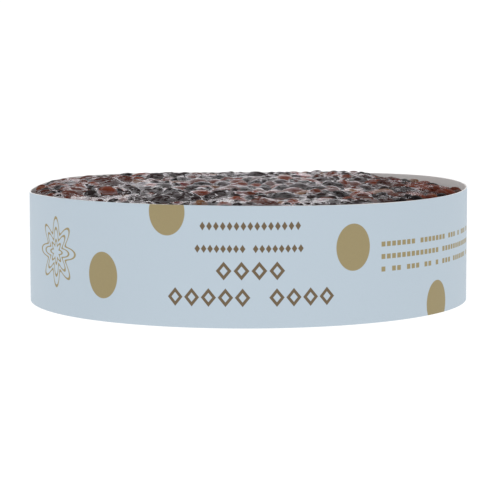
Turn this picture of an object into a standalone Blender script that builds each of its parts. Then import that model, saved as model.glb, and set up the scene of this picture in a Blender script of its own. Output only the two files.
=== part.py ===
"""Rich fruit cake in its card band.

A shallow round cake, tightly wrapped in clear film, stands inside a printed
card band. The cake solid is the wrapped cake: a turned core whose top is
crowded with the fruit that shows there. The band is a strip of card, lapped
and glued at the back.

Metres, +Z up. The origin is the centre of the base, and the band's printed
front faces -Y.
"""

import math
import random
from collections import namedtuple

import bmesh
import bpy
from mathutils import Euler, Matrix, Vector

# Driving sizes
BAND_RADIUS = 0.080
BAND_HEIGHT = 0.041
CARD = 0.0005
FIT_GAP = 0.0004

# How the band's upper edge, and the cake beside it, run up and down
RIM_WAVE = 0.0003
RIM_CRESTS = 3
RIM_CREST_ANGLE = math.radians(-105.0)
BACK_DIP = 0.00135
BACK_DIP_ANGLE = math.radians(98.0)
BACK_DIP_SPREAD = math.radians(75.0)
SIDE_DIP = 0.0011
SIDE_DIP_ANGLE = math.radians(178.0)
SIDE_DIP_SPREAD = math.radians(32.0)

# The card's lap at the back
LAP_LENGTH = 0.014
LAP_RAMP = 0.007
BACK_ANGLE = math.radians(90.0)
BAND_STEPS = 96

# The cake's core
CAKE_RADIUS = BAND_RADIUS - CARD - FIT_GAP
CRUMB_EDGE = 0.0408
DOME_RISE = 0.0004
SHOULDER = 0.0018
SHOULDER_TURN = (0.3, 0.4)
BASE_ROUND = 0.0015
WAVE_HEIGHT = 0.0003
WAVE_LENGTHS = (0.066, 0.078, 0.042)
SWELL_START = 0.60
SWELL_WIDTH = 0.36
Swell = namedtuple("Swell", "angle half ramp rise")
EDGE_SWELLS = (
    Swell(math.radians(22.0), math.radians(20.0), math.radians(11.0), -0.0021),
    Swell(math.radians(59.0), math.radians(3.0), math.radians(12.0), 0.0009),
    Swell(math.radians(178.0), math.radians(6.0), math.radians(26.0), 0.0012),
)
CORE_STEPS = 64
CORE_RINGS = 7

# Fruit
FRUIT_SEED = 41
PACKING = 0.80
TRIES = 900
EDGE_CLEARANCE = 0.0006
EDGE_START = 0.70
EDGE_SETTLE = 0.5
MOST_TILT = math.radians(16.0)
SIZE_SPREAD = 0.16
WAIST_LEVEL = -0.15
UPPER_LEVEL = 0.62
UPPER_WIDTH = 0.76
TIP_LEAN = 0.10
PHASE_STEP = 2.4
FruitKind = namedtuple("FruitKind", "count length width height sides lobes wrinkle proud")
FRUIT_KINDS = {
    "cherry": FruitKind(9, 0.0128, 0.0118, 0.0080, 9, 2, 0.04, 0.0016),
    "raisin": FruitKind(66, 0.0114, 0.0080, 0.0064, 7, 3, 0.10, 0.0014),
    "sultana": FruitKind(62, 0.0100, 0.0070, 0.0056, 7, 2, 0.08, 0.0013),
    "almond": FruitKind(10, 0.0094, 0.0050, 0.0034, 6, 1, 0.16, 0.0010),
    "currant": FruitKind(60, 0.0060, 0.0052, 0.0046, 6, 2, 0.06, 0.0011),
}
Fruit = namedtuple("Fruit", "kind x y turn tilt roll size")

# Finishes: colour, roughness, metallic
CAKE_FINISH = ((0.085, 0.030, 0.018, 1.0), 0.45, 0.0)
BAND_FINISH = ((0.515, 0.604, 0.680, 1.0), 0.55, 0.0)


def clear_scene():
    for old in list(bpy.data.objects):
        bpy.data.objects.remove(old, do_unlink=True)


def finish(name, look):
    """A material with the piece's own colour, roughness and metallic value."""
    colour, roughness, metallic = look
    material = bpy.data.materials.new(name)
    material.use_nodes = True
    shader = material.node_tree.nodes["Principled BSDF"]
    shader.inputs["Base Color"].default_value = colour
    shader.inputs["Roughness"].default_value = roughness
    shader.inputs["Metallic"].default_value = metallic
    material.diffuse_color = colour
    return material


def object_from(mesh_data, name, collection=None):
    """A new object that holds the finished bmesh."""
    mesh = bpy.data.meshes.new(name)
    mesh_data.to_mesh(mesh)
    mesh_data.free()
    made = bpy.data.objects.new(name, mesh)
    (collection or bpy.context.scene.collection).objects.link(made)
    return made


def smoothstep(value):
    value = min(1.0, max(0.0, value))
    return value * value * (3.0 - 2.0 * value)


def turn_between(angle, other):
    """How far apart two directions are."""
    turn = angle - other
    return abs(math.atan2(math.sin(turn), math.cos(turn)))


def rim_level(x, y):
    """How far the band's upper edge is above or below its mean level: a slight wave and two dips."""
    angle = math.atan2(y, x)
    level = RIM_WAVE * math.cos(RIM_CRESTS * (angle - RIM_CREST_ANGLE))
    level -= BACK_DIP * smoothstep(1.0 - turn_between(angle, BACK_DIP_ANGLE) / BACK_DIP_SPREAD)
    return level - SIDE_DIP * smoothstep(1.0 - turn_between(angle, SIDE_DIP_ANGLE) / SIDE_DIP_SPREAD)


def edge_swell(x, y):
    """How far the cake's edge is sunk or piled up, apart from following the rim."""
    angle = math.atan2(y, x)
    rise = 0.0
    for swell in EDGE_SWELLS:
        away = turn_between(angle, swell.angle)
        rise += swell.rise * (1.0 - smoothstep((away - swell.half) / swell.ramp))
    return rise


def crumb_height(x, y):
    """Height of the crumb's surface: a low dome with broad waves, uneven round its edge."""
    out = math.hypot(x, y) / CAKE_RADIUS
    across, along, slant = (2.0 * math.pi / length for length in WAVE_LENGTHS)
    wave = math.sin(x * across) * math.cos(y * along) + math.sin((x + y) * slant) / 2
    dome = DOME_RISE * (1.0 - out * out) + rim_level(x, y) * out * out
    swell = edge_swell(x, y) * smoothstep((out - SWELL_START) / SWELL_WIDTH)
    return CRUMB_EDGE + dome + WAVE_HEIGHT * wave + swell


def free_spot(draw, placed, reach, span):
    """The first spot of a seeded draw that is clear of the fruit placed so far, or none."""
    for _ in range(TRIES):
        out = reach * math.sqrt(draw.random())
        around = draw.uniform(0.0, 2.0 * math.pi)
        x, y = out * math.cos(around), out * math.sin(around)
        gaps = (math.hypot(x - px, y - py) - PACKING * (span + other) / 2 for px, py, other in placed)
        if min(gaps, default=1.0) > 0.0:
            return x, y
    return None


def fruit_layout():
    """Where each fruit lies, the largest kinds first."""
    draw = random.Random(FRUIT_SEED)
    placed = []
    layout = []
    for kind, fruit in FRUIT_KINDS.items():
        for _ in range(fruit.count):
            size = 1.0 + draw.uniform(-SIZE_SPREAD, SIZE_SPREAD)
            reach = CAKE_RADIUS - EDGE_CLEARANCE - size * fruit.length / 2
            span = size * (fruit.length + fruit.width) / 2
            spot = free_spot(draw, placed, reach, span)
            if spot is None:
                continue
            turn = draw.uniform(0.0, 2.0 * math.pi)
            tilt = draw.uniform(-MOST_TILT, MOST_TILT)
            roll = draw.uniform(-MOST_TILT, MOST_TILT)
            placed.append((*spot, span))
            layout.append(Fruit(kind, *spot, turn, tilt, roll, size))
    return layout


def fruit_place(lying):
    """The matrix that lays one fruit in the crumb, part of its height standing proud."""
    fruit = FRUIT_KINDS[lying.kind]
    edge = smoothstep((math.hypot(lying.x, lying.y) / CAKE_RADIUS - EDGE_START) / (1.0 - EDGE_START))
    proud = fruit.proud * (1.0 - EDGE_SETTLE * edge)
    z = crumb_height(lying.x, lying.y) + (proud - fruit.height / 2) * lying.size
    turned = Euler((lying.roll, lying.tilt, lying.turn)).to_matrix().to_4x4()
    return Matrix.Translation((lying.x, lying.y, z)) @ turned @ Matrix.Scale(lying.size, 4)


def fruit_body(lying, phase):
    """A squashed, lobed ellipsoid with few sides: a waist ring, an upper ring and two tips."""
    fruit = FRUIT_KINDS[lying.kind]
    body = bmesh.new()
    half = Vector((fruit.length, fruit.width, fruit.height)) / 2
    rings = []
    for level, width in ((WAIST_LEVEL, 1.0), (UPPER_LEVEL, UPPER_WIDTH)):
        ring = []
        for step in range(fruit.sides):
            angle = 2.0 * math.pi * step / fruit.sides
            lobed = width * (1.0 + fruit.wrinkle * math.cos(fruit.lobes * angle + phase))
            spot = (half.x * lobed * math.cos(angle), half.y * lobed * math.sin(angle), half.z * level)
            ring.append(body.verts.new(spot))
        rings.append(ring)
    bottom = body.verts.new((0.0, 0.0, -half.z))
    lean = Vector((half.x * math.cos(phase), half.y * math.sin(phase))) * TIP_LEAN
    top = body.verts.new((lean.x, lean.y, half.z))
    waist, upper = rings
    for step in range(fruit.sides):
        following = (step + 1) % fruit.sides
        body.faces.new((waist[step], bottom, waist[following]))
        body.faces.new((waist[step], waist[following], upper[following], upper[step]))
        body.faces.new((upper[step], upper[following], top))
    bmesh.ops.transform(body, matrix=fruit_place(lying), verts=body.verts)
    bmesh.ops.recalc_face_normals(body, faces=body.faces)
    return body


def core_rings():
    """The core's outline from the base up to the shoulder, then in over the top.

    Each ring has its radius and either a height or a drop below the crumb's surface.
    """
    rim = CAKE_RADIUS - SHOULDER
    turn_in, turn_down = SHOULDER_TURN
    rings = [
        (CAKE_RADIUS - BASE_ROUND, 0.0, None),
        (CAKE_RADIUS, BASE_ROUND, None),
        (CAKE_RADIUS, CRUMB_EDGE / 2, None),
        (CAKE_RADIUS, None, SHOULDER),
        (CAKE_RADIUS - turn_in * SHOULDER, None, turn_down * SHOULDER),
    ]
    for step in range(CORE_RINGS):
        rings.append((rim * (1.0 - step / CORE_RINGS), None, 0.0))
    return rings


def cake_core():
    """The turned body of the cake, closed at the base and over the top."""
    core = bmesh.new()
    rings = []
    for radius, height, drop in core_rings():
        ring = []
        for step in range(CORE_STEPS):
            angle = 2.0 * math.pi * step / CORE_STEPS
            x, y = radius * math.cos(angle), radius * math.sin(angle)
            z = height if drop is None else crumb_height(x, y) - drop
            ring.append(core.verts.new((x, y, z)))
        rings.append(ring)
    for lower, upper in zip(rings, rings[1:]):
        for step in range(CORE_STEPS):
            following = (step + 1) % CORE_STEPS
            core.faces.new((lower[step], lower[following], upper[following], upper[step]))
    core.faces.new(list(reversed(rings[0])))
    crown = core.verts.new((0.0, 0.0, crumb_height(0.0, 0.0)))
    for step in range(CORE_STEPS):
        core.faces.new((rings[-1][step], rings[-1][(step + 1) % CORE_STEPS], crown))
    return core


def make_cake():
    """The wrapped cake, its fruit fused to the core as one solid."""
    cake = object_from(cake_core(), "cake")
    loose = bpy.data.collections.new("fruit")
    bpy.context.scene.collection.children.link(loose)
    for number, lying in enumerate(fruit_layout()):
        body = fruit_body(lying, phase=number * PHASE_STEP)
        object_from(body, f"{lying.kind}_{number:03d}", loose)
    fuse = cake.modifiers.new("fuse fruit", "BOOLEAN")
    fuse.operation = "UNION"
    fuse.operand_type = "COLLECTION"
    fuse.collection = loose
    fuse.solver = "EXACT"
    bpy.context.view_layer.update()
    graph = bpy.context.evaluated_depsgraph_get()
    fused = bpy.data.meshes.new_from_object(cake.evaluated_get(graph))
    cake.modifiers.clear()
    cake.data = fused
    for piece in list(loose.objects):
        bpy.data.objects.remove(piece, do_unlink=True)
    bpy.data.collections.remove(loose)
    cake.data.materials.clear()
    cake.data.materials.append(finish("fruit cake", CAKE_FINISH))
    return cake


def lap_rise(angle, step_angle):
    """How far the card stands out at an angle, where it ramps up over its own hidden end."""
    along = (angle - step_angle) * BAND_RADIUS + LAP_LENGTH
    return CARD * smoothstep((along + LAP_RAMP) / LAP_RAMP)


def band_outline(flat):
    """The card's outline seen from above: the outer line up to the lap's step, and the inner circle."""
    step_angle = BACK_ANGLE + LAP_LENGTH / 2 / BAND_RADIUS
    outer = [(BAND_RADIUS, step_angle)]
    for step in range(1, BAND_STEPS + 1):
        angle = step_angle - 2.0 * math.pi * (1.0 - step / BAND_STEPS)
        outer.append((BAND_RADIUS + lap_rise(angle, step_angle), angle))
    inner = [(BAND_RADIUS - CARD, 2.0 * math.pi * step / BAND_STEPS) for step in range(BAND_STEPS)]
    edges = []
    for outline in (outer, inner):
        corners = [flat.verts.new((r * math.cos(a), r * math.sin(a), 0.0)) for r, a in outline]
        for first, second in zip(corners, corners[1:] + corners[:1]):
            edges.append(flat.edges.new((first, second)))
    return edges


def make_band():
    """The strip of card round the cake, with its glued lap at the back."""
    strip = bmesh.new()
    edges = band_outline(strip)
    bmesh.ops.triangle_fill(strip, edges=edges, use_beauty=True)
    raised = bmesh.ops.extrude_face_region(strip, geom=list(strip.faces))
    upper = [item for item in raised["geom"] if isinstance(item, bmesh.types.BMVert)]
    for corner in upper:
        corner.co.z = BAND_HEIGHT + rim_level(corner.co.x, corner.co.y)
    bmesh.ops.recalc_face_normals(strip, faces=strip.faces)
    band = object_from(strip, "band")
    band.data.materials.append(finish("pale blue card", BAND_FINISH))
    band.data.shade_smooth()
    band.data.set_sharp_from_angle(angle=math.radians(35.0))
    return band


def main():
    clear_scene()
    make_cake()
    make_band()


main()
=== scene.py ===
"""Rich fruit cake, wrapped in clear film and standing in its printed card band.

The cake is a dark crumb body crowded with dried fruit. A clear film is
stretched over the fruit and down the side, and the card band stands round
it. Metres, +Z up, the band's printed front faces -Y.
"""

import math
import random
from collections import namedtuple

import bpy
import numpy as np
from mathutils import Euler, Matrix, Vector, noise
from mathutils.bvhtree import BVHTree


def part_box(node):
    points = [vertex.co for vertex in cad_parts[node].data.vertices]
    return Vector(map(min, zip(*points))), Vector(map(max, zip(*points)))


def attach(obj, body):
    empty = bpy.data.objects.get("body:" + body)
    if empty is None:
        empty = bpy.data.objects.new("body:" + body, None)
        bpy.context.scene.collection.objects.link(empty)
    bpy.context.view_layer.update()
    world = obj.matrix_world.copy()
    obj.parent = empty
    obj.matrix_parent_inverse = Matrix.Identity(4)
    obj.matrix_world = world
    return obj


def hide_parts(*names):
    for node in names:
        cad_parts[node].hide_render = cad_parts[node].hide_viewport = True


bl_info = {
    "name": "Rich Fruit Cake",
    "version": (1, 0, 0),
    "blender": (4, 5, 0),
    "location": "3D View > Sidebar > Fruit Cake",
    "description": "Builds a wrapped rich fruit cake in its printed card band",
    "category": "Object",
}

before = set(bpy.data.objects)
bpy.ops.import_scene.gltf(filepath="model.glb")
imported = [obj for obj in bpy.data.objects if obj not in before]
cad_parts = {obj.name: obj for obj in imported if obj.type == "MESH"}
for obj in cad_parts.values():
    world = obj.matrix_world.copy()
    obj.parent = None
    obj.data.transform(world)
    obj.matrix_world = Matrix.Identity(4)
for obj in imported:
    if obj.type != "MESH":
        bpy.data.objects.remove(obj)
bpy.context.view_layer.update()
BAND_LOW, BAND_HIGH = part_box("band")
CAKE_LOW, CAKE_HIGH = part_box("cake")

MM = 0.001
TURN = 2.0 * math.pi

# The band, its uneven upper edge and its lap, as the frame has them
RIM_WAVE = 0.0003
RIM_CRESTS = 3
RIM_CREST_ANGLE = math.radians(-105.0)
BACK_DIP = 0.00135
BACK_DIP_ANGLE = math.radians(98.0)
BACK_DIP_SPREAD = math.radians(75.0)
SIDE_DIP = 0.0011
SIDE_DIP_ANGLE = math.radians(178.0)
SIDE_DIP_SPREAD = math.radians(32.0)
BAND_RADIUS = round((BAND_HIGH.x - BAND_LOW.x) / 2, 3)
BAND_TOP = round(BAND_HIGH.z - RIM_WAVE, 4)
BAND_FOOT = BAND_LOW.z
CARD = 0.0005
LAP_LENGTH = 0.014
LAP_RAMP = 0.007
BACK_ANGLE = math.radians(90.0)

# The crumb's surface, as the frame has it
CAKE_RADIUS = round((CAKE_HIGH.x - CAKE_LOW.x) / 2, 4)
CRUMB_EDGE = 0.0408
DOME_RISE = 0.0004
SHOULDER = 0.0018
BASE_ROUND = 0.0015
BASE_CUT = 0.3 * BASE_ROUND
WAVE_HEIGHT = 0.0003
WAVE_LENGTHS = (0.066, 0.078, 0.042)
SWELL_START = 0.60
SWELL_WIDTH = 0.36
Swell = namedtuple("Swell", "angle half ramp rise")
EDGE_SWELLS = (
    Swell(math.radians(22.0), math.radians(20.0), math.radians(11.0), -0.0021),
    Swell(math.radians(59.0), math.radians(3.0), math.radians(12.0), 0.0009),
    Swell(math.radians(178.0), math.radians(6.0), math.radians(26.0), 0.0012),
)

# Fruit
FRUIT_SEED = 41
PACKING = 0.80
TRIES = 900
EDGE_CLEARANCE = 0.0006
EDGE_START = 0.70
EDGE_SETTLE = 0.5
MOST_TILT = math.radians(16.0)
SIZE_SPREAD = 0.16
FruitKind = namedtuple("FruitKind", "count length width height proud")
FRUIT_KINDS = {
    "cherry": FruitKind(9, 0.0128, 0.0118, 0.0080, 0.0016),
    "raisin": FruitKind(66, 0.0114, 0.0080, 0.0064, 0.0014),
    "sultana": FruitKind(62, 0.0100, 0.0070, 0.0056, 0.0013),
    "almond": FruitKind(10, 0.0094, 0.0050, 0.0034, 0.0010),
    "currant": FruitKind(60, 0.0060, 0.0052, 0.0046, 0.0011),
}
FILLER_PACKING = 0.55
FILLER_KINDS = {
    "sultana": FruitKind(80, 0.0084, 0.0058, 0.0044, 0.0009),
    "raisin": FruitKind(90, 0.0086, 0.0062, 0.0046, 0.0009),
    "almond": FruitKind(16, 0.0060, 0.0034, 0.0026, 0.0008),
    "currant": FruitKind(260, 0.0052, 0.0044, 0.0038, 0.0008),
}
Fruit = namedtuple("Fruit", "kind x y turn tilt roll size sizes")

# How much more uneven the fruit lie here than in the frame, away from the edge
MOUND_HEIGHT = 0.0011
MOUND_LENGTH = 0.024
LIFT_HEIGHT = 0.0013
LIFT_LENGTH = 0.009
CRUMB_SINK = 0.0007
BACK_SINK = 0.0003
BACK_PLACE = (0.020, 0.062)
BACK_REACH = 0.055
BACK_STEEPNESS = 1.6
BACK_START = 0.025
BACK_RISE = 0.0001

# Where the film is slack and bridges the fruit in flat folds: centre and half lengths
Slack = namedtuple("Slack", "x y half_x half_y")
SLACKS = (
    Slack(-0.043, -0.006, 0.016, 0.014),
    Slack(-0.050, -0.046, 0.020, 0.010),
    Slack(0.018, -0.062, 0.015, 0.009),
    Slack(0.058, -0.030, 0.011, 0.013),
    Slack(-0.003, 0.054, 0.008, 0.010),
    Slack(-0.067, 0.012, 0.008, 0.016),
    Slack(-0.008, -0.068, 0.010, 0.006),
)

# Print on the band, in millimetres: arc from the front centre, and height
PRINT_EDGE = 0.12
OVAL_HALF = (6.45, 8.0)
OVALS = (
    (-53.6, 16.0), (-27.9, 38.9), (36.8, 26.4), (77.2, 3.9),
    (131.0, 12.0), (152.0, 35.0), (178.0, 8.5), (203.0, 27.0), (230.0, 4.0),
    (-131.0, 33.0), (-152.0, 9.0), (-178.0, 29.0), (-203.0, 5.0), (-230.0, 36.5),
)
MarkRow = namedtuple("MarkRow", "start pitch number height half_width half_height hollow gap_at")
LOZENGE_ROWS = (
    MarkRow(-16.5, 2.30, 15, 34.4, 0.95, 1.50, 0.0, 0),
    MarkRow(-18.2, 2.18, 17, 26.8, 0.95, 1.40, 0.0, 8),
    MarkRow(-11.2, 5.98, 4, 19.4, 2.65, 3.15, 0.50, 0),
    MarkRow(-27.8, 5.76, 10, 10.4, 2.60, 3.15, 0.50, 5),
)
DASHES_START = 47.8
DASHES_END = 113.0
DASH_PITCH = 2.35
DASH_SHARE = 0.36
DASH_SKIPPED = 0.24
DASH_HALF_HEIGHT = 0.85
DASH_HEIGHTS = (26.75, 22.5, 18.2)
ROSETTE_PLACE = (-79.5, 21.8)
ROSETTE_LINES = ((9.4, 2.6, 8.0), (6.4, 1.9, 8.0), (3.2, 0.9, 8.0))
ROSETTE_LINE_HALF = 0.52

# Shine of the matt surfaces, as the shader's specular level
CARD_SHINE = 0.25
CRUMB_SHINE = 0.12
FRUIT_SHINE = 0.10

# The cake's left and right ends, where more of the fruit is painted a lighter red brown as painted light,
# in millimetres from the middle
PAINTED_LIGHT_START = 42.0
PAINTED_LIGHT_WIDTH = 24.0
PAINTED_LIGHT_TONE = 0.42
PAINTED_LIGHT_SHARE = 0.75

# The film's gloss: its parts, with a painted sheen on crests and painted shade in the hollows, and where it
# is dulled, in random patches and as painted shade at the ends and round the rim, in millimetres
FILM_IOR = 1.9
FILM_ROUGHNESS = 0.12
GLOSS_PARTS = (0.34, 0.50, 0.10)
GLOSS_MOST = 0.42
BARE_PATCH = 0.014
BARE_DULLS = 0.40
RIM_START, RIM_WIDTH = 72.0, 6.0
ENDS_MIDDLE, ENDS_START, ENDS_WIDTH = -10.0, 50.0, 24.0
RIGHT_START, RIGHT_WIDTH = 5.0, 30.0


def smoothstep(value):
    value = min(1.0, max(0.0, value))
    return value * value * (3.0 - 2.0 * value)


def turn_between(angle, other):
    """How far apart two directions are."""
    turn = angle - other
    return abs(math.atan2(math.sin(turn), math.cos(turn)))


def rim_level(x, y):
    """How far the band's upper edge is above or below its mean level: a slight wave and two dips."""
    angle = math.atan2(y, x)
    level = RIM_WAVE * math.cos(RIM_CRESTS * (angle - RIM_CREST_ANGLE))
    level -= BACK_DIP * smoothstep(1.0 - turn_between(angle, BACK_DIP_ANGLE) / BACK_DIP_SPREAD)
    return level - SIDE_DIP * smoothstep(1.0 - turn_between(angle, SIDE_DIP_ANGLE) / SIDE_DIP_SPREAD)


def edge_swell(x, y):
    """How far the cake's edge is sunk or piled up, apart from following the rim."""
    angle = math.atan2(y, x)
    rise = 0.0
    for swell in EDGE_SWELLS:
        away = turn_between(angle, swell.angle)
        rise += swell.rise * (1.0 - smoothstep((away - swell.half) / swell.ramp))
    return rise


def crumb_height(x, y):
    """Height of the crumb's surface: a low dome with broad waves, uneven round its edge."""
    out = math.hypot(x, y) / CAKE_RADIUS
    across, along, slant = (TURN / length for length in WAVE_LENGTHS)
    wave = math.sin(x * across) * math.cos(y * along) + math.sin((x + y) * slant) / 2
    dome = DOME_RISE * (1.0 - out * out) + rim_level(x, y) * out * out
    swell = edge_swell(x, y) * smoothstep((out - SWELL_START) / SWELL_WIDTH)
    return CRUMB_EDGE + dome + WAVE_HEIGHT * wave + swell


def free_spot(draw, placed, reach, span, packing):
    """The first spot of a seeded draw that is clear of the fruit placed so far, or none."""
    for _ in range(TRIES):
        out = reach * math.sqrt(draw.random())
        around = draw.uniform(0.0, TURN)
        x, y = out * math.cos(around), out * math.sin(around)
        gaps = (math.hypot(x - px, y - py) - packing * (span + other) / 2 for px, py, other in placed)
        if min(gaps, default=1.0) > 0.0:
            return x, y
    return None


def fruit_layout():
    """Where each fruit lies: the frame's own fruit first, then small ones that fill their gaps."""
    draw = random.Random(FRUIT_SEED)
    placed = []
    layout = []
    for kinds, packing in ((FRUIT_KINDS, PACKING), (FILLER_KINDS, FILLER_PACKING)):
        for kind, fruit in kinds.items():
            for _ in range(fruit.count):
                size = 1.0 + draw.uniform(-SIZE_SPREAD, SIZE_SPREAD)
                reach = CAKE_RADIUS - EDGE_CLEARANCE - size * fruit.length / 2
                span = size * (fruit.length + fruit.width) / 2
                spot = free_spot(draw, placed, reach, span, packing)
                if spot is None:
                    continue
                turn = draw.uniform(0.0, TURN)
                tilt = draw.uniform(-MOST_TILT, MOST_TILT)
                roll = draw.uniform(-MOST_TILT, MOST_TILT)
                placed.append((*spot, span))
                layout.append(Fruit(kind, *spot, turn, tilt, roll, size, fruit))
    return layout


def edge_share(x, y):
    """0 over the middle of the cake, rising to 1 at its edge."""
    return smoothstep((math.hypot(x, y) / CAKE_RADIUS - EDGE_START) / (1.0 - EDGE_START))


def mound(x, y):
    """How far the crumb and its fruit are heaped up or sunk, away from the edge."""
    return MOUND_HEIGHT * noise.noise(Vector((x, y, 0.0)) / MOUND_LENGTH) * (1.0 - edge_share(x, y))


def lift(x, y):
    """How far one fruit stands above or below those round it, away from the edge."""
    return LIFT_HEIGHT * noise.noise(Vector((x, y, 0.0)) / LIFT_LENGTH) * (1.0 - edge_share(x, y))


def fruit_place(lying):
    """The matrix that lays one fruit in the crumb, part of its height standing proud."""
    proud = lying.sizes.proud * (1.0 - EDGE_SETTLE * edge_share(lying.x, lying.y))
    z = crumb_height(lying.x, lying.y) + (proud - lying.sizes.height / 2) * lying.size
    rise = mound(lying.x, lying.y) + lift(lying.x, lying.y)
    z += min(rise, BACK_RISE) if lying.y > BACK_START else rise
    back = 1.0 - math.dist((lying.x, lying.y), BACK_PLACE) / BACK_REACH
    z -= BACK_SINK * smoothstep(BACK_STEEPNESS * back)
    turned_to = Euler((lying.roll, lying.tilt, lying.turn)).to_matrix().to_4x4()
    return Matrix.Translation((lying.x, lying.y, z)) @ turned_to @ Matrix.Scale(lying.size, 4)


class Socket:
    """A shader socket on which Python's own operators add Math nodes."""

    def __init__(self, finish, output):
        self.finish = finish
        self.output = output

    def math(self, operation, *operands):
        values = dict(enumerate(operands))
        return self.finish.node("Math", {"operation": operation}, values)

    def __add__(self, other):
        return self.math("ADD", self, other)

    __radd__ = __add__

    def __sub__(self, other):
        return self.math("SUBTRACT", self, other)

    def __rsub__(self, other):
        return self.math("SUBTRACT", other, self)

    def __mul__(self, other):
        return self.math("MULTIPLY", self, other)

    __rmul__ = __mul__

    def __truediv__(self, other):
        return self.math("DIVIDE", self, other)

    def __pow__(self, power):
        return self.math("POWER", self, power)

    def __abs__(self):
        return self.math("ABSOLUTE", self)

    def __gt__(self, other):
        return self.math("GREATER_THAN", self, other)

    def __lt__(self, other):
        return self.math("LESS_THAN", self, other)

    def floor(self):
        return self.math("FLOOR", self)

    def root(self):
        return self.math("SQRT", self)

    def cos(self):
        return self.math("COSINE", self)

    def most(self, other):
        return self.math("MAXIMUM", self, other)

    def least(self, other):
        return self.math("MINIMUM", self, other)

    def clamp(self):
        return self.most(0.0).least(1.0)


class Finish:
    """One material and the nodes it is made of."""

    def __init__(self, name):
        self.material = bpy.data.materials.new(name)
        self.material.use_nodes = True
        self.tree = self.material.node_tree
        self.tree.nodes.clear()

    def node(self, kind, settings=None, values=None, output=0):
        """Adds a node with its settings and its sockets' values or links, and gives one output."""
        made = self.tree.nodes.new("ShaderNode" + kind)
        for name, value in (settings or {}).items():
            setattr(made, name, value)
        for name, value in (values or {}).items():
            if isinstance(value, Socket):
                self.tree.links.new(value.output, made.inputs[name])
            else:
                made.inputs[name].default_value = value
        return Socket(self, made.outputs[output])

    def place(self):
        """The piece's own coordinates, as X, Y and Z in millimetres."""
        spot = self.node("TexCoord", output="Object")
        return [self.node("SeparateXYZ", {}, {0: spot}, axis) * 1000.0 for axis in range(3)]

    def noise(self, size, detail=2.0, roughness=0.5, stretch=(1.0, 1.0, 1.0), distortion=0.0):
        """Noise with grains of a size in metres, on the piece's own coordinates."""
        spot = self.node("TexCoord", output="Object")
        spot = self.node("Mapping", {}, {"Vector": spot, "Scale": stretch})
        values = {"Vector": spot, "Scale": 1.0 / size, "Detail": detail, "Roughness": roughness}
        values["Distortion"] = distortion
        return self.node("TexNoise", {}, values, "Fac")

    def blend(self, factor, first, second):
        """A colour between two, by a factor."""
        values = {"Factor": factor, 6: first, 7: second}
        return self.node("Mix", {"data_type": "RGBA"}, values, 2)

    def attribute(self, name):
        return self.node("Attribute", {"attribute_name": name}, {}, "Fac")

    def bump(self, height, distance, strength=1.0):
        values = {"Height": height, "Distance": distance, "Strength": strength}
        return self.node("Bump", {}, values, "Normal")

    def surface(self, shader):
        """Makes a shader the material's surface."""
        out = self.tree.nodes.new("ShaderNodeOutputMaterial")
        self.tree.links.new(shader.output, out.inputs["Surface"])
        return self.material


def shade(value, light):
    """A colour made lighter or darker."""
    return (*(min(1.0, part * light) for part in value), 1.0)


def card_finish(colours):
    """Matt printed card: pale blue with gold ovals and rows of plain marks, unprinted inside."""
    finish = Finish("printed card")
    x, y, z = finish.place()
    radius = (x * x + y * y).root()
    arc = finish.node("Math", {"operation": "ARCTAN2"}, {0: x, 1: 0.0 - y}) * (BAND_RADIUS / MM)
    outside = radius > (BAND_RADIUS - 0.2 * CARD) / MM
    inside = radius < (BAND_RADIUS - 0.8 * CARD) / MM
    fibres = finish.noise(0.0006, 3.0, 0.6)
    cloud = finish.noise(0.02, 2.0)
    paper = finish.blend(fibres, shade(colours.card, 0.975), shade(colours.card, 1.025))
    paper = finish.blend(cloud * 0.5, paper, shade(colours.card, 0.985))
    gold = finish.blend(fibres, shade(colours.gold, 0.94), shade(colours.gold, 1.06))
    brown = finish.blend(fibres, shade(colours.brown, 0.9), shade(colours.brown, 1.1))
    printed = finish.blend(ovals_mask(arc, z), paper, gold)
    printed = finish.blend(rosette_mask(arc, z), printed, gold)
    printed = finish.blend(dashes_mask(finish, arc, z), printed, gold)
    printed = finish.blend(marks_mask(arc, z), printed, brown)
    board = finish.blend(fibres, shade(colours.board, 0.96), shade(colours.board, 1.04))
    face = finish.blend(outside, board, printed)
    cut = (1.0 - outside) * (1.0 - inside)
    face = finish.blend(cut, face, shade(colours.board, 1.12))
    relief = finish.bump(fibres + cloud * 3.0, 0.00003, 0.5)
    values = {"Base Color": face, "Roughness": 0.52 + fibres * 0.12, "Normal": relief}
    values["Specular IOR Level"] = CARD_SHINE
    return finish.surface(finish.node("BsdfPrincipled", {}, values))


def soft_edge(distance, softness):
    """1 where a distance in millimetres is below zero, fading to 0 over a soft edge."""
    return (0.5 - distance / softness).clamp()


def ovals_mask(arc, z):
    """The gold ovals scattered round the band: arc from the front and height in millimetres."""
    mask = 0.0
    for oval_arc, oval_height in OVALS:
        away = (((arc - oval_arc) / OVAL_HALF[0]) ** 2.0 + ((z - oval_height) / OVAL_HALF[1]) ** 2.0).root()
        mask = soft_edge((away - 1.0) * OVAL_HALF[0], PRINT_EDGE) + mask
    return mask.clamp()


def lozenge_row(arc, z, row):
    """A row of lozenge outlines, or of solid ones, with a gap after some of them."""
    along = (arc - row.start) / row.pitch
    count = along.floor()
    across = abs(along - count - 0.5) * row.pitch
    up = abs(z - row.height)
    shape = across / row.half_width + up / row.half_height
    slope = 1.0 / row.half_width
    mask = soft_edge((shape - 1.0) / slope, PRINT_EDGE)
    if row.hollow:
        mask = mask * (1.0 - soft_edge((shape - row.hollow) / slope, PRINT_EDGE))
    mask = mask * (arc > row.start) * (arc < row.start + row.pitch * row.number)
    if row.gap_at:
        mask = mask * (abs(count - row.gap_at) > 0.5)
    return mask


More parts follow.
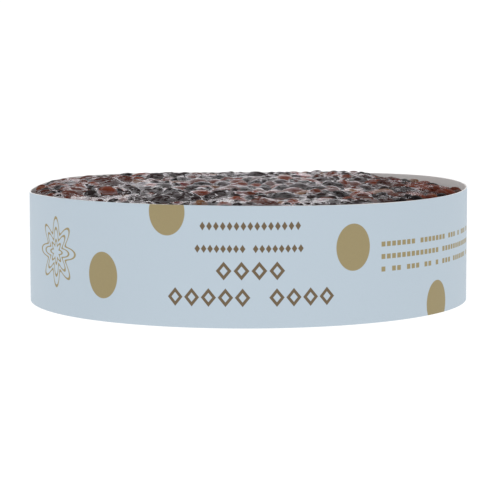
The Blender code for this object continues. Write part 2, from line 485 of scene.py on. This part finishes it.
def dash_row(finish, arc, z, height):
    """A fine line of short dashes with uneven gaps."""
    cell = (arc - DASHES_START) / DASH_PITCH
    count = cell.floor()
    draw = finish.node("TexWhiteNoise", {"noise_dimensions": "1D"}, {"W": count + height}, "Value")
    across = abs(cell - count - 0.5) * DASH_PITCH - DASH_PITCH * DASH_SHARE
    up = abs(z - height) - DASH_HALF_HEIGHT
    mask = soft_edge(across, PRINT_EDGE) * soft_edge(up, PRINT_EDGE)
    return mask * (draw > DASH_SKIPPED) * (arc > DASHES_START) * (arc < DASHES_END)


def marks_mask(arc, z):
    """The rows of lozenges on the front."""
    mask = 0.0
    for row in LOZENGE_ROWS:
        mask = lozenge_row(arc, z, row) + mask
    return mask.clamp()


def dashes_mask(finish, arc, z):
    """The fine lines of dashes on the side."""
    mask = 0.0
    for height in DASH_HEIGHTS:
        mask = dash_row(finish, arc, z, height) + mask
    return mask.clamp()


def rosette_mask(arc, z):
    """A rosette of thin gold petals left of the front."""
    across = arc - ROSETTE_PLACE[0]
    up = z - ROSETTE_PLACE[1]
    out = (across * across + up * up).root()
    turn = across.math("ARCTAN2", up, across)
    mask = 0.0
    for size, swing, petals in ROSETTE_LINES:
        line = size + (turn * petals).cos() * swing
        mask = soft_edge(abs(out - line) - ROSETTE_LINE_HALF, PRINT_EDGE) + mask
    return mask.clamp()


class CakeColours(bpy.types.PropertyGroup):
    """Colours of the cake, its fruit and the band."""

    card: bpy.props.FloatVectorProperty(
        name="Card", description="Printed ground of the card band",
        subtype="COLOR", default=(0.515, 0.604, 0.680), min=0.0, max=1.0)
    gold: bpy.props.FloatVectorProperty(
        name="Gold", description="Ovals and rosette on the band",
        subtype="COLOR", default=(0.342, 0.279, 0.145), min=0.0, max=1.0)
    brown: bpy.props.FloatVectorProperty(
        name="Brown", description="Rows of marks on the band",
        subtype="COLOR", default=(0.165, 0.118, 0.068), min=0.0, max=1.0)
    board: bpy.props.FloatVectorProperty(
        name="Board", description="Unprinted inside and cut edges of the band",
        subtype="COLOR", default=(0.86, 0.84, 0.83), min=0.0, max=1.0)
    crumb: bpy.props.FloatVectorProperty(
        name="Crumb", description="Moist dark crumb between the fruit",
        subtype="COLOR", default=(0.052, 0.018, 0.010), min=0.0, max=1.0)
    raisin: bpy.props.FloatVectorProperty(
        name="Raisin", description="Raisins and currants",
        subtype="COLOR", default=(0.018, 0.008, 0.008), min=0.0, max=1.0)
    sultana: bpy.props.FloatVectorProperty(
        name="Sultana", description="Amber brown sultanas",
        subtype="COLOR", default=(0.20, 0.036, 0.012), min=0.0, max=1.0)
    cherry: bpy.props.FloatVectorProperty(
        name="Cherry", description="Dark red cherries",
        subtype="COLOR", default=(0.17, 0.018, 0.014), min=0.0, max=1.0)
    almond: bpy.props.FloatVectorProperty(
        name="Almond", description="Chopped almonds",
        subtype="COLOR", default=(0.21, 0.088, 0.034), min=0.0, max=1.0)


class FilmSizes(bpy.types.PropertyGroup):
    """How the clear film lies over the fruit."""

    gap: bpy.props.FloatProperty(
        name="Gap", description="How far the film stands off the fruit it touches",
        default=0.00018, min=0.0, unit="LENGTH", precision=5)
    cling: bpy.props.FloatProperty(
        name="Cling", description="How strongly the film is drawn down between the fruit, as curvature",
        default=1400.0, min=0.0)
    pleat: bpy.props.FloatProperty(
        name="Pleat", description="Height of the creases drawn in round the shoulder",
        default=0.00006, min=0.0, unit="LENGTH", precision=5)
    crease: bpy.props.FloatProperty(
        name="Crease", description="Height of the fine creases over the top",
        default=0.00006, min=0.0, unit="LENGTH", precision=5)


class StudioSettings(bpy.types.PropertyGroup):
    """The camera and light."""

    distance: bpy.props.FloatProperty(
        name="Distance", description="Camera's distance in front of the cake's centre",
        default=0.8393, unit="LENGTH", precision=4)
    aside: bpy.props.FloatProperty(
        name="Aside", description="Camera's offset to the right",
        default=0.00062, unit="LENGTH", precision=5)
    height: bpy.props.FloatProperty(
        name="Height", description="Camera's height above the table",
        default=0.1144, unit="LENGTH", precision=4)
    pitch: bpy.props.FloatProperty(
        name="Pitch", description="How far the camera looks down",
        default=math.radians(6.604), subtype="ANGLE")
    roll: bpy.props.FloatProperty(
        name="Roll", description="The camera's slight lean",
        default=math.radians(-0.116), subtype="ANGLE")
    lens: bpy.props.FloatProperty(
        name="Lens", description="Focal length in millimetres on a 36 mm sensor", default=165.23)
    sky: bpy.props.FloatProperty(
        name="Sky", description="Brightness of the light from all round", default=0.95, min=0.0)


def select_only(piece=None):
    """Deselects everything, then selects and activates one piece."""
    bpy.ops.object.select_all(action="DESELECT")
    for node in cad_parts.values():
        node.select_set(False)
    if piece is not None:
        bpy.context.view_layer.objects.active = piece
        piece.select_set(True)


def turned(name, profile, steps):
    """Draws a profile corner by corner, as radius and height, and spins it round the upright axis."""
    select_only()
    bpy.ops.mesh.primitive_plane_add(size=MM, location=(profile[0][0], 0.0, profile[0][1]))
    piece = bpy.context.object
    piece.name = name
    piece.data.name = name
    bpy.ops.object.transform_apply(location=True, rotation=False, scale=False)
    bpy.ops.object.mode_set(mode="EDIT")
    bpy.ops.mesh.merge(type="CENTER")
    for (radius, height), (next_radius, next_height) in zip(profile, profile[1:]):
        step = (next_radius - radius, 0.0, next_height - height)
        bpy.ops.mesh.extrude_vertices_move(TRANSFORM_OT_translate={"value": step})
    bpy.ops.mesh.select_all(action="SELECT")
    bpy.ops.mesh.spin(steps=steps, angle=TURN, center=(0.0, 0.0, 0.0), axis=(0.0, 0.0, 1.0))
    bpy.ops.mesh.select_all(action="SELECT")
    bpy.ops.mesh.remove_doubles(threshold=MM / 100)
    bpy.ops.mesh.normals_make_consistent(inside=False)
    bpy.ops.object.mode_set(mode="OBJECT")
    return piece


def vertex_array(piece):
    """The piece's vertices as rows of X, Y and Z."""
    places = np.empty(len(piece.data.vertices) * 3)
    piece.data.vertices.foreach_get("co", places)
    return places.reshape(-1, 3)


def set_vertices(piece, places):
    piece.data.vertices.foreach_set("co", places.ravel())
    piece.data.update()


def dress(piece, material, replaced):
    """Gives a finished piece its material, its body and its place in the frame."""
    piece.data.materials.clear()
    piece.data.materials.append(material)
    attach(piece, "root")
    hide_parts(replaced)


def lap_rise(angle, step_angle):
    """How far the card stands out at an angle, where it ramps up over its own hidden end."""
    along = (angle - step_angle) * BAND_RADIUS + LAP_LENGTH
    return CARD * smoothstep((along + LAP_RAMP) / LAP_RAMP)


class FRUITCAKE_OT_band(bpy.types.Operator):
    """Adds the printed card band, lapped and glued at the back"""

    bl_idname = "fruitcake.band"
    bl_label = "Card Band"

    STEPS = 384
    ROWS = 6
    BEVEL = 0.00012
    WAVE = 0.00006
    WAVES = ((3.0, 1.0, 1.0), (7.0, 0.6, 0.0), (11.0, 0.4, 2.0))
    STEP_TURN = 0.0004

    def execute(self, context):
        foot, top, outer, inner = BAND_FOOT, BAND_TOP, BAND_RADIUS, BAND_RADIUS - CARD
        straight = top - foot - 2 * self.BEVEL
        levels = [foot + self.BEVEL + straight * row / self.ROWS for row in range(self.ROWS + 1)]
        profile = [(outer, level) for level in levels]
        profile += [(outer - self.BEVEL, top), (inner + self.BEVEL, top)]
        profile += [(inner, level) for level in reversed(levels)]
        profile += [(inner + self.BEVEL, foot), (outer - self.BEVEL, foot), profile[0]]
        band = turned("card_band", profile, self.STEPS)
        places = vertex_array(band)
        step_angle = BACK_ANGLE + LAP_LENGTH / 2 / BAND_RADIUS
        for place in places:
            self.shape(place, step_angle)
        set_vertices(band, places)
        select_only(band)
        bpy.ops.object.shade_smooth_by_angle(angle=math.radians(40.0))
        dress(band, card_finish(context.scene.fruitcake_colours), "band")
        return {"FINISHED"}

    def shape(self, place, step_angle):
        """Moves one corner: the dip of the upper edge, the card's slight waves and the lap."""
        x, y, z = place
        radius = math.hypot(x, y)
        angle = math.atan2(y, x)
        if angle > step_angle:
            angle -= TURN
        column = TURN / self.STEPS
        share = (z - BAND_FOOT) / (BAND_TOP - BAND_FOOT)
        z += share * rim_level(x, y)
        wave = sum(part * math.sin(count * angle + phase) for count, part, phase in self.WAVES)
        radius += self.WAVE * wave * share
        if radius > BAND_RADIUS - CARD / 2:
            if angle + TURN - step_angle < column:
                angle = step_angle - TURN + self.STEP_TURN
            else:
                radius += lap_rise(angle, step_angle)
        place[:] = (radius * math.cos(angle), radius * math.sin(angle), z)


class FRUITCAKE_OT_crumb(bpy.types.Operator):
    """Adds the cake's crumb body, rough between the fruit"""

    bl_idname = "fruitcake.crumb"
    bl_label = "Crumb"

    STEPS = 320
    RINGS = 100
    INSET = 0.0004
    TURN_STEPS = 8
    SIDE_ROWS = 8
    GRAIN = 0.0028
    RELIEF = 0.0006

    def execute(self, context):
        outer = CAKE_RADIUS - self.INSET
        rim = outer - SHOULDER
        profile = [(rim * ring / self.RINGS, CRUMB_EDGE) for ring in range(self.RINGS + 1)]
        for step in range(1, self.TURN_STEPS + 1):
            turn = math.pi / 2 * step / self.TURN_STEPS
            level = CRUMB_EDGE - SHOULDER * (1 - math.cos(turn))
            profile.append((rim + SHOULDER * math.sin(turn), level))
        low = self.INSET
        side = CRUMB_EDGE - SHOULDER - BASE_ROUND - low
        rows = range(1, self.SIDE_ROWS + 1)
        profile += [(outer, low + BASE_ROUND + side * (1 - row / self.SIDE_ROWS)) for row in rows]
        profile += [(outer - BASE_CUT, low + BASE_CUT), (outer - BASE_ROUND, low)]
        profile += [(outer * share, low) for share in (0.6, 0.3, 0.0)]
        crumb = turned("crumb", profile, self.STEPS)
        places = vertex_array(crumb)
        for place in places:
            self.shape(place)
        set_vertices(crumb, places)
        select_only(crumb)
        bpy.ops.object.shade_smooth()
        dress(crumb, crumb_finish(context.scene.fruitcake_colours), "cake")
        return {"FINISHED"}

    def shape(self, place):
        """Lifts the top to the crumb's surface and roughens it."""
        x, y, z = place
        upper = smoothstep((z - CRUMB_EDGE / 2) / (CRUMB_EDGE / 2 - SHOULDER))
        if upper <= 0.0:
            return
        spot = Vector((x, y, z)) / self.GRAIN
        rough = noise.fractal(spot, 0.7, 2.0, 3) * self.RELIEF
        place[2] = z + upper * (crumb_height(x, y) + mound(x, y) - CRUMB_EDGE - CRUMB_SINK + rough)


def crumb_finish(colours):
    """Moist dark crumb, mottled and pitted."""
    finish = Finish("moist crumb")
    mottle = finish.noise(0.0022, 5.0, 0.65)
    patches = finish.noise(0.012, 3.0)
    tone = finish.blend(mottle, shade(colours.crumb, 0.35), shade(colours.crumb, 1.9))
    tone = finish.blend(patches * 0.4, tone, shade(colours.sultana, 0.35))
    relief = finish.bump(mottle, 0.0006)
    values = {"Base Color": tone, "Roughness": 0.55 + mottle * 0.35, "Normal": relief}
    values["Specular IOR Level"] = CRUMB_SHINE
    return finish.surface(finish.node("BsdfPrincipled", {}, values))


FruitShape = namedtuple("FruitShape", "name slot level variants crease depth stretch lump flat")
FRUIT_SHAPES = {
    "raisin": FruitShape("raisins", "raisin", 4, 5, 2.1, 0.20, (0.45, 1.0, 1.0), 0.10, 0.0),
    "sultana": FruitShape("sultanas", "sultana", 4, 5, 1.9, 0.14, (0.40, 1.0, 1.0), 0.08, 0.0),
    "currant": FruitShape("currants", "raisin", 3, 4, 1.8, 0.16, (0.8, 1.0, 1.0), 0.08, 0.0),
    "cherry": FruitShape("cherries", "cherry", 4, 4, 1.2, 0.07, (1.0, 1.0, 1.0), 0.10, 0.35),
    "almond": FruitShape("almonds", "almond", 3, 4, 0.9, 0.05, (1.0, 1.0, 1.0), 0.26, 0.0),
}
VARIANT_STEP = (7.3, 3.1, 5.7)
LUMPS = 1.1
FINE_CREASES = 2.3
FINE_SHARE = 0.35
CREASE_WIDTH = 0.10

# Each kind's colour, and how much darker and lighter single fruit are
FRUIT_TONES = {
    "raisin": ("raisin", 0.5, 2.4),
    "currant": ("raisin", 0.4, 1.5),
    "sultana": ("sultana", 0.30, 1.35),
    "cherry": ("cherry", 0.5, 1.5),
    "almond": ("almond", 0.55, 1.25),
}


def fruit_mesh(kind, sizes, variant, level):
    """One fruit at its real size: a ball pressed to an oval, lumpy, with shrunken creases."""
    shape = FRUIT_SHAPES[kind]
    select_only()
    bpy.ops.mesh.primitive_ico_sphere_add(subdivisions=level, radius=1.0)
    piece = bpy.context.object
    places = vertex_array(piece)
    half = np.array((sizes.length, sizes.width, sizes.height)) / 2
    offset = Vector([variant * step for step in VARIANT_STEP])
    for place in places:
        way = Vector(place)
        lump = noise.noise(way * LUMPS + offset) * shape.lump
        stretched = Vector(a * b for a, b in zip(way, shape.stretch)) * shape.crease
        fine = noise.noise(stretched * FINE_CREASES + offset)
        line = noise.noise(stretched + offset * 2) + FINE_SHARE * fine
        crease = math.exp(-((line / CREASE_WIDTH) ** 2)) * shape.depth
        if shape.flat and way.z > 1.0 - shape.flat:
            place[2] = 1.0 - shape.flat
        place *= 1.0 + lump - crease
    set_vertices(piece, places * half)
    bpy.ops.object.shade_smooth()
    return piece


class FRUITCAKE_OT_fruit(bpy.types.Operator):
    """Adds the raisins, sultanas, currants, cherries and almonds of the cake's top"""

    bl_idname = "fruitcake.fruit"
    bl_label = "Dried Fruit"

    def execute(self, context):
        layout = fruit_layout()
        for kind, shape in FRUIT_SHAPES.items():
            lying = [fruit for fruit in layout if fruit.kind == kind]
            piece = self.scatter(kind, shape, lying)
            dress(piece, fruit_finish(kind, context.scene.fruitcake_colours), "cake")
        return {"FINISHED"}

    def scatter(self, kind, shape, lying):
        """Copies the kind's few models to each place, and joins them to one piece."""
        draw = random.Random(kind)
        models = {}
        copies = []
        for number, fruit in enumerate(lying):
            small = fruit.sizes is not FRUIT_KINDS[kind]
            model = (small, number % shape.variants)
            if model not in models:
                level = shape.level - 1 if small and shape.level > 3 else shape.level
                models[model] = fruit_mesh(kind, fruit.sizes, number % shape.variants, level)
            copy = models[model].copy()
            copy.data = models[model].data.copy()
            copy.data.transform(fruit_place(fruit))
            tone = copy.data.attributes.new("tone", "FLOAT", "POINT")
            tone.data.foreach_set("value", [draw.random()] * len(copy.data.vertices))
            bpy.context.scene.collection.objects.link(copy)
            copies.append(copy)
        for model in models.values():
            bpy.data.objects.remove(model, do_unlink=True)
        select_only(copies[0])
        for copy in copies:
            copy.select_set(True)
        bpy.ops.object.join()
        piece = bpy.context.object
        piece.name = shape.name
        piece.data.name = shape.name
        return piece


def fruit_finish(kind, colours):
    """Sticky dried fruit: each one its own tone, darker in random mottled patches, with a moist sheen."""
    finish = Finish(kind + " skin")
    name, dark, light = FRUIT_TONES[kind]
    value = getattr(colours, name)
    tone = finish.attribute("tone")
    mottle = finish.noise(0.0016, 4.0, 0.6)
    skin = finish.blend(tone, shade(value, dark), shade(value, light))
    # Painted light: towards the left and right ends, some of the fruit are painted a lighter red brown
    painted_ends = ((abs(finish.place()[0]) - PAINTED_LIGHT_START) / PAINTED_LIGHT_WIDTH).clamp()
    skin = finish.blend(painted_ends * (tone > PAINTED_LIGHT_TONE) * PAINTED_LIGHT_SHARE, skin, shade(colours.sultana, 0.95))
    skin = finish.blend(mottle * 0.55, skin, shade(value, dark * 0.5))
    fine = finish.noise(0.0005, 3.0, 0.6)
    relief = finish.bump(fine + mottle * 2.0, 0.00018)
    values = {"Base Color": skin, "Roughness": 0.45 + mottle * 0.30, "Normal": relief}
    values["Specular IOR Level"] = FRUIT_SHINE
    return finish.surface(finish.node("BsdfPrincipled", {}, values))


class FRUITCAKE_OT_film(bpy.types.Operator):
    """Stretches the clear film over the fruit, down the side and under the base"""

    bl_idname = "fruitcake.film"
    bl_label = "Clear Film"

    STEPS = 512
    RINGS = 150
    SIDE_ROWS = 8
    RELAXING = 500
    SMOOTHING = 5
    BLURRING = 60
    CREST_HEIGHT = 0.0012
    CLEARANCE = 0.0004
    EDGE_DROP = 0.0014
    SIDE_GAP = 0.0001
    FOOT = 0.0001
    RAY_START = 0.06
    SLACK_STEEPNESS = 1.6
    SLACK_MOST = 0.85
    FOLD_SIZE = 0.006
    FOLD_STRETCH = 0.3
    FOLD_WIDTH = 0.10
    PLEAT_TURNS = 6.0
    PLEAT_LENGTH = 0.0045
    PLEAT_WIDTH = 0.15
    SHOULDER_START = 0.80
    SHOULDER_SPREAD = 0.18

    def execute(self, context):
        sizes = context.scene.fruitcake_film
        outer = CAKE_RADIUS + self.SIDE_GAP
        rings = np.linspace(0.0, outer, self.RINGS + 1)
        edge_height = CRUMB_EDGE - self.EDGE_DROP
        profile = [(radius, CRUMB_EDGE) for radius in rings[:-1]] + [(outer, edge_height)]
        foot = self.FOOT
        side = edge_height - foot - BASE_ROUND
        rows = range(1, self.SIDE_ROWS + 1)
        profile += [(outer, foot + BASE_ROUND + side * (1 - row / self.SIDE_ROWS)) for row in rows]
        profile += [(outer - BASE_CUT, foot + BASE_CUT), (outer - BASE_ROUND, foot)]
        profile += [(outer * share, foot) for share in (0.75, 0.5, 0.25, 0.0)]
        film = turned("film", profile, self.STEPS)
        heights, clear, crests = self.draped(sizes, rings)
        places = vertex_array(film)
        radii = np.hypot(places[:, 0], places[:, 1])
        top = places[:, 2] > edge_height - MM / 10
        ring = np.clip(np.rint(radii / outer * self.RINGS).astype(int), 0, self.RINGS)
        step = np.rint(np.arctan2(places[:, 1], places[:, 0]) / TURN * self.STEPS).astype(int) % self.STEPS
        places[top, 2] = heights[ring[top], step[top]]
        set_vertices(film, places)
        for name, shares in (("open", clear), ("crest", crests)):
            values = np.ones(len(places))
            values[top] = shares[ring[top], step[top]]
            film.data.attributes.new(name, "FLOAT", "POINT").data.foreach_set("value", values)
        select_only(film)
        bpy.ops.object.shade_smooth()
        dress(film, film_finish(), "cake")
        return {"FINISHED"}

    def obstacles(self, rings, angles):
        """Height of what lies under each point of the film."""
        bodies = [bpy.data.objects["crumb"]]
        bodies += [bpy.data.objects[shape.name] for shape in FRUIT_SHAPES.values()]
        graph = bpy.context.evaluated_depsgraph_get()
        trees = [BVHTree.FromObject(body, graph) for body in bodies]
        below = np.zeros((len(rings), len(angles)))
        down = Vector((0.0, 0.0, -1.0))
        for i, radius in enumerate(rings):
            for j, angle in enumerate(angles):
                start = Vector((radius * math.cos(angle), radius * math.sin(angle), self.RAY_START))
                for tree in trees:
                    hit = tree.ray_cast(start, down)[0]
                    if hit is not None and hit.z > below[i, j]:
                        below[i, j] = hit.z
        return below

    def draped(self, sizes, rings):
        """The film's height over each point, how far it is off the fruit, and how far it rises."""
        angles = np.arange(self.STEPS) * TURN / self.STEPS
        outer = rings[-1]
        edge = [crumb_height(outer * math.cos(angle), outer * math.sin(angle)) for angle in angles]
        edge = np.array(edge) - self.EDGE_DROP
        fruit = np.maximum(self.obstacles(rings, angles) + sizes.gap, edge)
        below = fruit + self.creases(sizes, rings, angles)
        below[-1] = edge
        height = below.copy()
        ring_gap = rings[1] - rings[0]
        step_gap = np.maximum(rings[1:-1, None], ring_gap) * TURN / self.STEPS
        inward = (1.0 - ring_gap / (2 * rings[1:-1, None])) / ring_gap**2
        outward = (1.0 + ring_gap / (2 * rings[1:-1, None])) / ring_gap**2
        sideways = 1.0 / step_gap**2
        total = inward + outward + 2 * sideways
        cling = sizes.cling * (1.0 - self.slack(rings[1:-1, None], angles[None, :]))
        for _ in range(self.RELAXING):
            middle = height[1:-1]
            around = np.roll(middle, 1, axis=1) + np.roll(middle, -1, axis=1)
            taut = (inward * height[:-2] + outward * height[2:] + sideways * around - cling) / total
            height[1:-1] = np.maximum(below[1:-1], taut)
            height[0] = height[1].mean()
        smooth = height.copy()
        for step in range(self.BLURRING):
            middle = smooth[1:-1]
            around = np.roll(middle, 1, axis=1) + np.roll(middle, -1, axis=1)
            smooth[1:-1] = (inward * smooth[:-2] + outward * smooth[2:] + sideways * around) / total
            smooth[0] = smooth[1].mean()
            if step + 1 == self.SMOOTHING:
                height = smooth.copy()
        clear = np.clip((height - fruit) / self.CLEARANCE, 0.0, 1.0)
        # How far the film rises above its blurred self; the film's shader paints a sheen on the crests and
        # painted shade in the hollows from it
        crests = np.clip(0.5 + (height - smooth) / self.CREST_HEIGHT, 0.0, 1.0)
        return height, clear, crests

    def slack(self, radius, angle):
        """1 where the film is slack and bridges the fruit, fading to 0 where it clings."""
        x, y = radius * np.cos(angle), radius * np.sin(angle)
        share = np.zeros(x.shape)
        for patch in SLACKS:
            away = ((x - patch.x) / patch.half_x) ** 2 + ((y - patch.y) / patch.half_y) ** 2
            here = np.clip(self.SLACK_STEEPNESS * (1.0 - away), 0.0, self.SLACK_MOST)
            share = np.maximum(share, here)
        return share

    def creases(self, sizes, rings, angles):
        """Creases that the film keeps: pleats round the shoulder, and fine folds over the top."""
        raised = np.zeros((len(rings), len(angles)))
        for i, radius in enumerate(rings):
            shoulder = smoothstep((radius / CAKE_RADIUS - self.SHOULDER_START) / self.SHOULDER_SPREAD)
            for j, angle in enumerate(angles):
                across, along = math.cos(angle), math.sin(angle)
                x, y = radius * across, radius * along
                fold = noise.noise(Vector((x * self.FOLD_STRETCH, y, 0.0)) / self.FOLD_SIZE)
                line = math.exp(-((fold / self.FOLD_WIDTH) ** 2))
                spot = (across * self.PLEAT_TURNS, along * self.PLEAT_TURNS, radius / self.PLEAT_LENGTH)
                crest = math.exp(-((noise.noise(Vector(spot)) / self.PLEAT_WIDTH) ** 2))
                raised[i, j] = sizes.crease * line * (1.0 - 0.5 * shoulder)
                raised[i, j] += sizes.pleat * crest * shoulder
        return raised


def film_finish():
    """Clear glossy film: seen through from above, and mirror bright where the view grazes it. Its gloss is
    partly painted: a painted sheen on the crests, and painted shade in the hollows, at the left and right
    ends and round the rim.
    """
    finish = Finish("clear film")
    fine = finish.noise(0.0014, 3.0, 0.6, (0.35, 1.0, 1.0), 0.4)
    soft = finish.noise(0.004, 2.0, 0.5, (0.4, 1.0, 1.0))
    relief = finish.bump(fine + soft * 2.5, 0.00007, 0.8)
    edge_on = finish.node("Fresnel", {}, {"IOR": FILM_IOR, "Normal": relief})
    x, y, _ = finish.place()
    rim = (((x * x + y * y).root() - RIM_START) / RIM_WIDTH).clamp()
    painted_ends = ((abs(x - ENDS_MIDDLE) - ENDS_START) / ENDS_WIDTH).clamp()
    right = ((x - RIGHT_START) / RIGHT_WIDTH).clamp()
    # Gloss dulled in random patches, and as painted shade at the left and right ends and round the rim
    dull_patches_and_painted_shade = (finish.noise(BARE_PATCH, 2.0) * 1.8 - 0.5 + painted_ends * 0.7 + rim * 0.5).clamp()
    # Painted shade: gloss dulled round the right half of the rim and at the ends
    shaded = rim * right * 0.40 + painted_ends * 0.20
    everywhere, painted_sheen_on_crests, off_fruit = GLOSS_PARTS
    # Painted sheen: the gloss is raised on the film's crests, which leaves painted shade in its hollows
    lit = everywhere + finish.attribute("crest") * painted_sheen_on_crests + finish.attribute("open") * off_fruit
    lit = lit - dull_patches_and_painted_shade * BARE_DULLS - shaded
    gloss = (edge_on * lit).clamp().least(GLOSS_MOST)
    clear = finish.node("BsdfTransparent", {}, {"Color": (0.94, 0.935, 0.94, 1.0)})
    values = {"Color": (0.97, 0.93, 0.96, 1.0), "Roughness": FILM_ROUGHNESS, "Normal": relief}
    mirror = finish.node("BsdfGlossy", {}, values)
    return finish.surface(finish.node("MixShader", {}, {0: gloss, 1: clear, 2: mirror}))


class FRUITCAKE_OT_stage(bpy.types.Operator):
    """Adds the floor, the soft studio light and the camera"""

    bl_idname = "fruitcake.stage"
    bl_label = "Studio"

    FLOOR_DROP = 0.0002
    FLOOR_SIZE = 120.0
    SIDE_DIM = 0.50
    BACK_GAIN = 0.20
    SKY_STOPS = ((0.0, 0.55), (0.10, 1.45), (0.33, 1.45), (0.5, 1.1), (0.8, 1.05), (1.0, 0.4))
    LAMPS = (
        ("front", (0.0, -1.6, 1.6), 1.5, 1.0, 3.5),
        ("back", (0.1, 1.4, 0.55), 1.2, 0.10, 0.8),
    )
    FLOOR_GLOW = 1.05
    SENSOR = 36.0
    CLIP = (0.01, 200.0)

    def execute(self, context):
        studio = context.scene.fruitcake_studio
        select_only()
        bpy.ops.mesh.primitive_plane_add(size=self.FLOOR_SIZE, location=(0.0, 0.0, -self.FLOOR_DROP))
        floor = bpy.context.object
        floor.name = "floor"
        floor.data.materials.append(self.floor_finish())
        world = bpy.data.worlds.new("studio")
        context.scene.world = world
        world.use_nodes = True
        background = world.node_tree.nodes["Background"]
        self.sky_gradient(world, background, studio.sky)
        for lamp in self.LAMPS:
            self.soft_light(*lamp)
        self.camera(context, studio)
        context.scene.view_settings.view_transform = "Standard"
        return {"FINISHED"}

    def sky_gradient(self, world, background, strength):
        """Light from all round: brightest low down and from behind, and dimmer from the sides."""
        nodes = world.node_tree.nodes
        spot = nodes.new("ShaderNodeTexCoord")
        split = nodes.new("ShaderNodeSeparateXYZ")
        ramp = nodes.new("ShaderNodeValToRGB")
        stops = ramp.color_ramp.elements
        while len(stops) < len(self.SKY_STOPS):
            stops.new(1.0)
        for stop, (place, light) in zip(stops, self.SKY_STOPS):
            stop.position = place
            stop.color = (light, light, light, 1.0)
        world.node_tree.links.new(spot.outputs["Generated"], split.inputs[0])
        world.node_tree.links.new(split.outputs["Z"], ramp.inputs["Fac"])
        world.node_tree.links.new(ramp.outputs["Color"], background.inputs["Color"])
        behind = self.scaled(world, split.outputs["Y"], self.BACK_GAIN * strength, strength)
        aside = self.scaled(world, split.outputs["X"], split.outputs["X"], 0.0)
        brightness = self.scaled(world, aside, -self.SIDE_DIM * strength, behind)
        world.node_tree.links.new(brightness, background.inputs["Strength"])

    @staticmethod
    def scaled(world, value, factor, added):
        """A value of the sky times a factor, plus another."""
        made = world.node_tree.nodes.new("ShaderNodeMath")
        made.operation = "MULTIPLY_ADD"
        for socket, operand in zip(made.inputs, (value, factor, added)):
            if isinstance(operand, bpy.types.NodeSocket):
                world.node_tree.links.new(operand, socket)
            else:
                socket.default_value = operand
        return made.outputs[0]

    def floor_finish(self):
        finish = Finish("pale floor")
        grain = finish.noise(0.004, 2.0)
        tone = finish.blend(grain, (0.02, 0.02, 0.02, 1.0), (0.03, 0.03, 0.03, 1.0))
        values = {"Base Color": tone, "Roughness": 0.9, "Emission Color": (1.0, 1.0, 1.0, 1.0)}
        values["Emission Strength"] = self.FLOOR_GLOW
        values["Specular IOR Level"] = 0.0
        return finish.surface(finish.node("BsdfPrincipled", {}, values))

    def soft_light(self, name, place, width, height, watts):
        bpy.ops.object.light_add(type="AREA", location=place)
        lamp = bpy.context.object
        lamp.name = name
        lamp.data.shape = "RECTANGLE"
        lamp.data.size = width
        lamp.data.size_y = height
        lamp.data.energy = watts
        lamp.rotation_euler = (-Vector(place)).to_track_quat("-Z", "Y").to_euler()

    def camera(self, context, studio):
        bpy.ops.object.camera_add()
        camera = bpy.context.object
        camera.name = "camera"
        camera.data.sensor_width = self.SENSOR
        camera.data.lens = studio.lens
        camera.data.clip_start, camera.data.clip_end = self.CLIP
        place = Matrix.Translation((studio.aside, -studio.distance, studio.height))
        look = Matrix.Rotation(math.pi / 2 - studio.pitch, 4, "X") @ Matrix.Rotation(studio.roll, 4, "Z")
        camera.matrix_world = place @ look
        context.scene.camera = camera


OPERATORS = (
    FRUITCAKE_OT_crumb,
    FRUITCAKE_OT_fruit,
    FRUITCAKE_OT_film,
    FRUITCAKE_OT_band,
    FRUITCAKE_OT_stage,
)
SETTINGS = {
    "fruitcake_colours": CakeColours,
    "fruitcake_film": FilmSizes,
    "fruitcake_studio": StudioSettings,
}


class FRUITCAKE_PT_panel(bpy.types.Panel):
    """Lists the cake's pieces and settings"""

    bl_idname = "FRUITCAKE_PT_panel"
    bl_label = "Rich Fruit Cake"
    bl_space_type = "VIEW_3D"
    bl_region_type = "UI"
    bl_category = "Fruit Cake"

    def draw(self, context):
        for operator in OPERATORS:
            self.layout.operator(operator.bl_idname)
        for name, group in SETTINGS.items():
            box = self.layout.box()
            box.label(text=group.__doc__)
            for setting in group.__annotations__:
                box.prop(getattr(context.scene, name), setting)


def register():
    for group in SETTINGS.values():
        bpy.utils.register_class(group)
    for name, group in SETTINGS.items():
        setattr(bpy.types.Scene, name, bpy.props.PointerProperty(type=group))
    for operator in (*OPERATORS, FRUITCAKE_PT_panel):
        bpy.utils.register_class(operator)


def unregister():
    for operator in reversed((*OPERATORS, FRUITCAKE_PT_panel)):
        bpy.utils.unregister_class(operator)
    for name, group in SETTINGS.items():
        delattr(bpy.types.Scene, name)
        bpy.utils.unregister_class(group)


def main():
    register()
    bpy.ops.fruitcake.crumb()
    bpy.ops.fruitcake.fruit()
    bpy.ops.fruitcake.film()
    bpy.ops.fruitcake.band()
    bpy.ops.fruitcake.stage()


if __name__ == "__main__":
    main()
